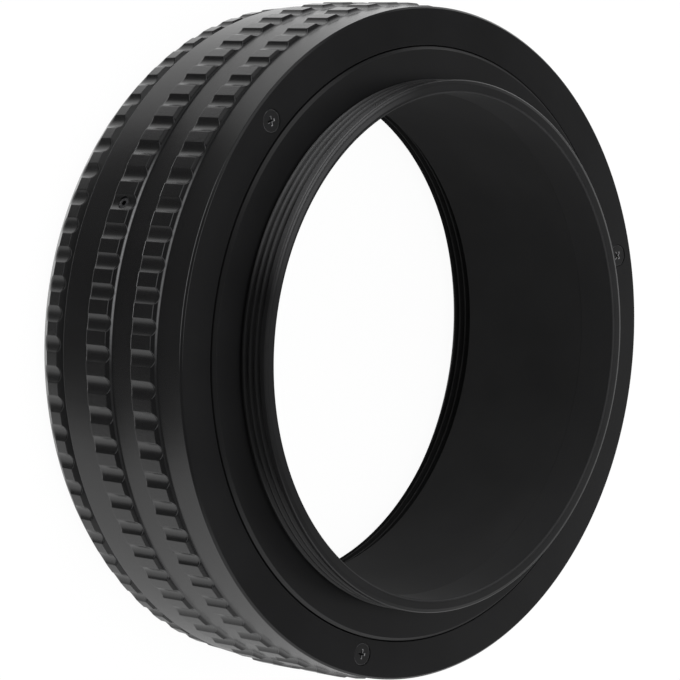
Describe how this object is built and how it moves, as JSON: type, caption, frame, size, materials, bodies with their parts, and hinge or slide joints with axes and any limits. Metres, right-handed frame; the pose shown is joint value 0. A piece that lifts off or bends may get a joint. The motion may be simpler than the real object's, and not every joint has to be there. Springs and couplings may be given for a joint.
{
  "type": "focusing helicoid adapter",
  "caption": "Black two-stage focusing helicoid ring: turning the scalloped sleeve lifts a non-rotating threaded front mount away from a threaded rear mount.",
  "frame": {"origin": "centre of the rear face, on the optical axis", "axes": "+Z along the optical axis from the camera side to the lens side; +X towards the side that faces left in the picture, +Y towards the side that faces down there"},
  "size_m": [0.0846, 0.0846, 0.0299],
  "materials": {
    "grip_black": "satin black anodised, turned and scalloped",
    "rear_grip_black": "satin black anodised, scalloped",
    "front_black": "satin black anodised, fine turned",
    "barrel_black": "matte black anodised against stray light",
    "core_black": "satin black anodised, greased threads",
    "sleeve_black": "satin black anodised",
    "rear_black": "satin black anodised, fine turned",
    "front_screw_black": "black oxide",
    "rear_screw_steel": "black oxide",
    "guide_screw_steel": "plain steel",
    "brake_steel": "plain steel",
    "spring_steel": "spring steel",
    "bar_steel": "ground steel",
    "key_brass": "machined brass",
    "guide_aluminium": "machined aluminium",
    "brake_nylon": "natural nylon"
  },
  "bodies": {
    "base": {"rear_mount_ring": "rear_black", "rear_mount_screws": "rear_screw_steel", "base_sleeve": "sleeve_black", "rear_grip_ring": "rear_grip_black"},
    "guide": {"guide_ring": "guide_aluminium", "guide_key_1": "key_brass", "guide_key_2": "key_brass", "guide_key_3": "key_brass", "guide_bar_1": "bar_steel", "guide_bar_2": "bar_steel", "guide_bar_3": "bar_steel", "guide_bar_screws": "guide_screw_steel", "guide_snap_ring": "spring_steel"},
    "focus_ring": {"focus_core": "core_black", "grip_sleeve": "grip_black", "front_screws": "front_screw_black", "brake_screw": "brake_steel", "brake_pad": "brake_nylon"},
    "front_barrel": {"inner_barrel": "barrel_black", "front_mount_ring": "front_black"}
  },
  "joints": [
    {"name": "guide_slide", "type": "slide", "parent": "base", "child": "guide", "axis": [0, 0, 1], "range_m": [0, 0.015]},
    {"name": "focus_turn", "type": "hinge", "parent": "guide", "child": "focus_ring", "pos_m": [0, 0, 0.0125], "axis": [0, 0, 1], "range_deg": [0, 300]},
    {"name": "barrel_slide", "type": "slide", "parent": "guide", "child": "front_barrel", "axis": [0, 0, 1], "range_m": [0, 0.015]}
  ],
  "couplings": [
    {"joint": "guide_slide", "follows": "focus_turn", "m_per_rad": 0.0028647},
    {"joint": "barrel_slide", "follows": "focus_turn", "m_per_rad": 0.0028647}
  ]
}
